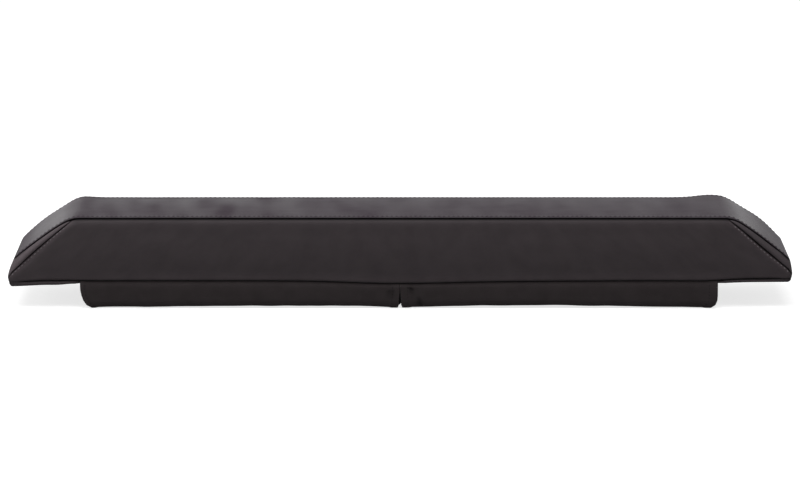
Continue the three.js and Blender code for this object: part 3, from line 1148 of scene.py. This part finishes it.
def build_base_panel():
    flat_x = HALF_LENGTH - BASE_CORNER
    flat_y = HALF_WIDTH - BASE_EDGE_RADIUS
    rolled = BASE_EDGE_RADIUS * math.acos(1 - BASE_SEAM / BASE_EDGE_RADIUS)
    wide = 2 * (flat_x + rolled)
    deep = 2 * (flat_y + rolled)

    def point(u, v):
        along = (2 * u - 1) * wide / 2
        across = (2 * v - 1) * deep / 2
        past_x = max(abs(along) - flat_x, 0) / rolled
        past_y = max(abs(across) - flat_y, 0) / rolled
        share = max(past_x, past_y)
        turn = math.atan2(past_y, past_x) if share else 0
        side = side_of(along)
        x_out = BASE_CORNER * math.sin(share * math.acos(1 - BASE_SEAM / BELLY_HEIGHT[side]))
        height = base_roll_height(share)
        x = min(abs(along), flat_x) + x_out * math.cos(turn) * (past_x > 0)
        beside_flap = 1 - smooth_step(*(SLEEVE_END[side] + past for past in BASE_TUCK_END), x)
        y_out = mix(base_reach(height, EDGE_SQUARENESS), base_reach(height, 2), beside_flap)
        y = min(abs(across), flat_y) + y_out * math.sin(turn) * (past_y > 0)
        y -= BASE_TUCK * beside_flap * smooth_step(BASE_TUCK_START * flat_y, flat_y + BASE_EDGE_RADIUS, y)
        return place(side * x, math.copysign(y, across), height)

    sheet, shares_of = cloth_grid(wide, deep, point, (0, 0, -1))
    shape_cloth(sheet, shares_of, wide, deep, 0, lambda co: 0)
    piece = finish_piece(sheet, "base_panel_cover", "base_panel", woven)
    return piece


# The sleeve


def rounded_path(corners):
    """A line through corners (y, z, radius) with round bends, as points with their distance along it."""
    points = []
    for i, (y, z, radius) in enumerate(corners):
        here = Vector((y, z))
        if not radius:
            points.append(here)
            continue
        back = (Vector(corners[i - 1][:2]) - here).normalized()
        ahead = (Vector(corners[i + 1][:2]) - here).normalized()
        half = back.angle(ahead) / 2
        centre = here + (back + ahead).normalized() * radius / math.sin(half)
        spoke = here + back * radius / math.tan(half) - centre
        turn = math.copysign(math.pi - 2 * half, ahead.cross(back))
        for step in range(9):
            points.append(centre + Matrix.Rotation(turn * step / 8, 2) @ spoke)
    lengths = [0.0]
    for a, b in zip(points, points[1:]):
        lengths.append(lengths[-1] + (b - a).length)
    return points, lengths


def along_path(path, length):
    points, lengths = path
    for i in range(len(points) - 1):
        if length <= lengths[i + 1]:
            break
    share = (length - lengths[i]) / (lengths[i + 1] - lengths[i])
    return points[i].lerp(points[i + 1], share)


def flap_path(face):
    """A flap's outer face, from the seam down and under the bar."""
    seam = UNDERSIDE + BASE_SEAM - FLAP_SEAM_GAP
    start = [
        (face * (FLAP_FACE - FLAP_TUCK), seam, 0),
        (face * FLAP_FACE, UNDERSIDE - FLAP_BEND_DROP, FLAP_BEND),
        (face * FLAP_FACE, 0, FLAP_FOLD),
    ]
    if face < 0:
        return rounded_path(start + [(FLAP_REACH, 0, 0)])
    joggle = [
        (JOGGLE_START, 0, JOGGLE_RADIUS),
        (JOGGLE_END, UPPER_FLOOR, JOGGLE_RADIUS),
        (-FLAP_REACH, UPPER_FLOOR, 0),
    ]
    return rounded_path(start + joggle)


def flap_ends(face, side, z, inward):
    """A flap's two ends in X, outwards from the slit, at a height and a distance in from the sleeve's face.

    The lower corners are rounded, and the slit is a little open in front, with a notch at its foot that
    narrows along the lower run. Further in it is closed and runs a little aside."""
    run = FLAP_CORNER_RUN[side]
    rise = FLAP_CORNER_RISE[side]
    low = 1 if inward > FLAP_FOLD else min(max((rise - z) / rise, 0), 1)
    outer = SLEEVE_END[side] - run * (1 - math.sqrt(1 - low * low))
    level = z if inward < FLAP_FOLD else 0
    near = (face < 0) * min(max(1 - (level + inward * math.tan(CAMERA_ELEVATION)) / SLIT_CORNER, 0), 1)
    down = 1 - smooth_step(*(share * UNDERSIDE for share in SLIT_NARROWING), z)
    closed = smooth_step(*SLIT_CLOSING, inward)
    inner = mix(mix(SLIT_TOP, SLIT_FOOT[face], down), SLIT_TOP, closed) + SLIT_NOTCH * near**NOTCH_CURVE
    return inner + side * SLIT_SHIFT * closed, outer


def step_from(edge, distance):
    """The hem's step: 0 short of its edge and 1 past it."""
    return smooth_step(edge - HEM_EDGE, edge + HEM_EDGE, distance)


def dent_at(face, x, down):
    """How much a front flap is drawn in by the pulls near that place."""
    dent = 0
    for dent_x, dent_down in DENTS:
        apart = math.hypot(x - dent_x, down - dent_down) / DENT_RADIUS
        dent += math.exp(-apart * apart) * (face < 0)
    return dent


def flap_relief(face, side, x, down, from_slit, from_end, border):
    """How far a flap stands out at a place: hems, rounded edges, waves, pulls and the fold at the slit."""
    hem = 1 - step_from(SLIT_HEM, from_slit)
    hem += 1 - step_from(HEM_WIDTH[side], from_end)
    turned = max(FLAP_EDGE_RADIUS - border, 0) / FLAP_EDGE_RADIUS
    edge = FLAP_EDGE_RADIUS * (1 - math.sqrt(1 - turned * turned))
    free = smooth_step(*WAVE_START, down) * (1 - smooth_step(*WAVE_END, down))
    pull = -HEM_PULL * (1 - smooth_step(*HEM_PULL_WIDTH, abs(from_slit - SLIT_HEM)))
    waves = wave(FLAP_WAVE, x, face, 7) + wave(FLAP_WRINKLE, x, down, 8)
    waves -= DENT_DEPTH * dent_at(face, x, down)
    out = HEM_STEP * hem * (0 if down > HEM_DEPTH else 1) - edge + (waves + pull * (face < 0)) * free
    lap = math.exp(-(((from_slit - LAP_LEAN * down) / LAP_WIDTH) ** 2)) * (1 - smooth_step(*LAP_END, down))
    return out + SLIT_LAP * lap * smooth_step(0, LAP_START, down) * (face < 0 < side)


def flap_lift(face, side, x, down, from_slit, from_end):
    """How far a flap's fold is lifted, most between the slit and an end."""
    sling = 1 - math.exp(-((from_slit / SLING_RUN[side]) ** 2))
    sling *= 1 - math.exp(-((from_end / END_SLING_RUN) ** 2))
    height, size = FOLD_WAVE
    lift = FLAP_SLING[side] * sling + height * max(swirl(x, face, size, 9), 0) - FLAP_DROP
    return lift * smooth_step(*LIFT_START, down) * (1 - smooth_step(*LIFT_END, down))


def flap_guides(face, side, wide, length, point):
    """Lines for the stitches of a flap's hems, its edge and its tape."""
    slit_line = (SLIT_HEM - SLIT_STITCH_INSET) / wide
    end_line = 1 - (HEM_WIDTH[side] - END_STITCH_INSET) / wide
    guides = []
    for u in (slit_line, end_line):
        guides.append(guide_line(80, lambda share: point(u, between_ends(length, share))))
    start = EDGE_STITCH_END / wide
    edge_line = 1 - EDGE_STITCH_INSET / length
    guides.append(guide_line(200, lambda share: point(mix(start, 1 - start, share), edge_line)))
    if face < 0:
        tape_line = TAPE_WIDTH / 2 - TAPE_STITCH_INSET
        start, end = side * TAPE_START, side * TAPE_END
        for y in (-tape_line, tape_line):
            guides.append(guide_line(200, lambda share: Vector((mix(start, end, share), y, 0))))
    return guides


def build_flap(face, side, name, node):
    path = flap_path(face)
    length = path[1][-1]
    wide = SLEEVE_END[side]

    def point(u, v):
        down = v * length
        y, z = along_path(path, down)
        inner, outer = flap_ends(face, side, z, FLAP_FACE - face * y)
        x = mix(inner, outer, u)
        sag = droop(side * x, BASE_SEAM) * (1 - smooth_step(0, DROOP_END, down))
        return Vector((side * x, y, z + sag))

    sheet, shares_of = cloth_grid(wide, length, point, (0, 0, -1))
    shade = sheet.verts.layers.float["seam_shade"]
    highlight = sheet.verts.layers.float["painted_light"]
    moves = {}
    for vert, (u, v) in shares_of.items():
        x = vert.co.x
        down = v * length
        from_slit = u * wide
        from_end = (1 - u) * wide
        border = min(from_slit, from_end, (1 - v) * length)
        # painted shade in the pulls
        vert[shade] = DENT_SHADE * dent_at(face, x, down)
        # painted highlight near the flap's top
        vert[highlight] = FLAP_TOP_HIGHLIGHT * (1 - smooth_step(*FLAP_LIGHT_END, down))
        out = flap_relief(face, side, x, down, from_slit, from_end, border)
        lift = flap_lift(face, side, x, down, from_slit, from_end)
        moves[vert] = vert.normal * out + Vector((0, 0, lift))
    for vert, move in moves.items():
        vert.co += move
    guides = flap_guides(face, side, wide, length, point)
    tree = BVHTree.FromBMesh(sheet)
    piece = finish_piece(sheet, name, node, flap_weave, FLAP_CLOTH)
    sew(guides, tree, name.replace("flap", "stitches"), HEM_STITCH)
    return piece


def build_tape(side, name, node, material, low):
    """A strip of hook or loop tape, sewn to its flap."""
    wide = TAPE_END - TAPE_START

    def point(u, v):
        x = mix(TAPE_START, TAPE_END, u)
        return Vector((side * x, mix(-TAPE_WIDTH / 2, TAPE_WIDTH / 2, v), low))

    sheet, _ = cloth_grid(wide, TAPE_WIDTH, point, (0, 0, -1))
    piece = finish_piece(sheet, name, node, material, TAPE_THICKNESS)
    rounding = piece.modifiers.new("soft edges", "BEVEL")
    rounding.width = TAPE_ROUNDING
    rounding.segments = 2
    return piece


# Thread


def sew(guides, tree, name, stitch, look=thread_look):
    """Stitches along guide lines, laid on the cloth under them."""
    pitch, length, thickness = stitch
    thread = bmesh.new()
    batch = bmesh.new()
    for guide in guides:
        lengths = [0.0]
        for a, b in zip(guide, guide[1:]):
            lengths.append(lengths[-1] + (b - a).length)
        count = int(lengths[-1] / pitch)
        step = 0
        for i in range(count):
            at = (i + 0.5) * pitch
            while lengths[step + 1] < at:
                step += 1
            share = (at - lengths[step]) / (lengths[step + 1] - lengths[step])
            spot = guide[step].lerp(guide[step + 1], share)
            on_cloth, normal, _, _ = tree.find_nearest(spot)
            along = (guide[step + 1] - guide[step]).normalized()
            along = (along - normal * along.dot(normal)).normalized()
            beside = normal.cross(along)
            turn = Matrix((along, beside, normal)).transposed().to_4x4()
            size = Matrix.Diagonal((length / 2, thickness / 2, thickness / 2, 1))
            where = Matrix.Translation(on_cloth - STITCH_SINK * thickness * normal) @ turn @ size
            bmesh.ops.create_uvsphere(batch, u_segments=6, v_segments=4, radius=1, matrix=where)
            if len(batch.verts) > STITCHES_AT_ONCE or i == count - 1:
                some = bpy.data.meshes.new("some stitches")
                batch.to_mesh(some)
                thread.from_mesh(some)
                bpy.data.meshes.remove(some)
                batch.clear()
    batch.free()
    return finish_piece(thread, name, None, look, 0)


# The foam


def build_foam():
    """The foam block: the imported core, a little smaller, so that the seams have room over it."""
    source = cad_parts["foam_core"]
    block = bmesh.new()
    block.from_mesh(source.data)
    bmesh.ops.remove_doubles(block, verts=block.verts, dist=MERGED)
    bmesh.ops.recalc_face_normals(block, faces=block.faces)
    block.normal_update()
    inward = {vert: vert.normal * -FOAM_INSET for vert in block.verts}
    for vert in block.verts:
        vert.co += inward[vert]
        vert.co.z += droop(vert.co.x, vert.co.z - UNDERSIDE)
    piece = finish_piece(block, "foam_block", "foam_core", foam_look, 0)
    return piece


build_foam()
build_top_panel()
build_side_panel(-1, "front_panel_cover", "front_panel")
build_side_panel(1, "back_panel_cover", "back_panel")
build_end_panel(-1, "left_end_cover", "left_end_panel")
build_end_panel(1, "right_end_cover", "right_end_panel")
build_base_panel()
build_tape(-1, "hook_strip_left", "hook_tape_left", hook_look, FLAP_CLOTH)
build_tape(1, "hook_strip_right", "hook_tape_right", hook_look, FLAP_CLOTH)
build_tape(-1, "loop_strip_left", "loop_tape_left", loop_look, UPPER_FLOOR - TAPE_THICKNESS)
build_tape(1, "loop_strip_right", "loop_tape_right", loop_look, UPPER_FLOOR - TAPE_THICKNESS)
build_flap(-1, -1, "front_sleeve_flap_left", "front_flap_left")
build_flap(-1, 1, "front_sleeve_flap_right", "front_flap_right")
build_flap(1, -1, "back_sleeve_flap_left", "back_flap_left")
build_flap(1, 1, "back_sleeve_flap_right", "back_flap_right")


# Floor, light and camera


def build_stage():
    plane = bmesh.new()
    bmesh.ops.create_grid(plane, x_segments=1, y_segments=1, size=FLOOR_REACH)
    bmesh.ops.translate(plane, verts=plane.verts, vec=(0, 0, FLOOR_LEVEL))
    data = bpy.data.meshes.new("studio_floor")
    plane.to_mesh(data)
    plane.free()
    floor = add_object("studio_floor", data)
    material, shader = new_material("pale floor")
    shader.inputs["Base Color"].default_value = (FLOOR_WHITE, FLOOR_WHITE, FLOOR_WHITE, 1)
    shader.inputs["Roughness"].default_value = 1.0
    shader.inputs["Specular IOR Level"].default_value = 0
    tree = material.node_tree
    path = tree.nodes.new("ShaderNodeLightPath")
    glow = tree.nodes.new("ShaderNodeEmission")
    glow.inputs["Strength"].default_value = FLOOR_GLOW
    add = tree.nodes.new("ShaderNodeAddShader")
    choice = tree.nodes.new("ShaderNodeMixShader")
    tree.links.new(shader.outputs[0], add.inputs[0])
    tree.links.new(glow.outputs[0], add.inputs[1])
    tree.links.new(path.outputs["Is Camera Ray"], choice.inputs["Fac"])
    tree.links.new(shader.outputs[0], choice.inputs[1])
    tree.links.new(add.outputs[0], choice.inputs[2])
    tree.links.new(choice.outputs[0], tree.nodes["Material Output"].inputs["Surface"])
    data.materials.append(material)


def add_area_light(name, place_at, aim, size, power):
    light = bpy.data.lights.new(name, "AREA")
    light.shape = "RECTANGLE"
    light.size = size[0]
    light.size_y = size[1]
    light.energy = power
    lamp = add_object(name, light)
    lamp.location = place_at
    lamp.rotation_euler = (Vector(aim) - Vector(place_at)).to_track_quat("-Z", "Y").to_euler()


def build_sky():
    """A pale studio: brightest near the floor, and plain white where the camera looks straight at it."""
    world = bpy.data.worlds.new("studio")
    world.use_nodes = True
    tree = world.node_tree
    background = tree.nodes["Background"]
    background.inputs["Color"].default_value = (1, 1, 1, 1)
    direction = tree.nodes.new("ShaderNodeTexCoord")
    split = tree.nodes.new("ShaderNodeSeparateXYZ")
    tree.links.new(direction.outputs["Generated"], split.inputs[0])
    path = tree.nodes.new("ShaderNodeLightPath")
    up = split.outputs["Z"]
    strength = range_node(tree, up, (0, SKY_BEND), (SKY_LOW, SKY_HIGH), soft=True)
    rising = range_node(tree, up, SIDE_RISE, soft=True)
    falling = range_node(tree, up, SIDE_FALL[::-1], soft=True)
    behind = range_node(tree, split.outputs["Y"], SIDE_BACK, soft=True)
    belt = times(tree, times(tree, rising, falling), behind)
    for side, extra in SKY_SIDES.items():
        aside = range_node(tree, times(tree, split.outputs["X"], side), SIDE_START, soft=True)
        strength = plus(tree, strength, times(tree, times(tree, aside, belt), extra))
    strength = math_node(tree, "MAXIMUM", strength, path.outputs["Is Camera Ray"])
    tree.links.new(strength, background.inputs["Strength"])
    bpy.context.scene.world = world


def build_light():
    build_sky()
    add_area_light("overhead softbox", *OVERHEAD_LIGHT)
    add_area_light("left softbox", *LEFT_LIGHT)


def build_camera():
    data = bpy.data.cameras.new("photograph")
    data.sensor_width = 36
    data.lens = data.sensor_width * CAMERA_DISTANCE / WIDTH_IN_VIEW
    data.clip_end = 50
    camera = add_object("photograph", data)
    back = Vector((0, -math.cos(CAMERA_ELEVATION), math.sin(CAMERA_ELEVATION)))
    camera.location = CAMERA_AIM + CAMERA_DISTANCE * back
    camera.rotation_euler = (-back).to_track_quat("-Z", "Y").to_euler()
    bpy.context.scene.camera = camera
    bpy.context.scene.view_settings.view_transform = "Standard"


build_stage()
build_light()
build_camera()
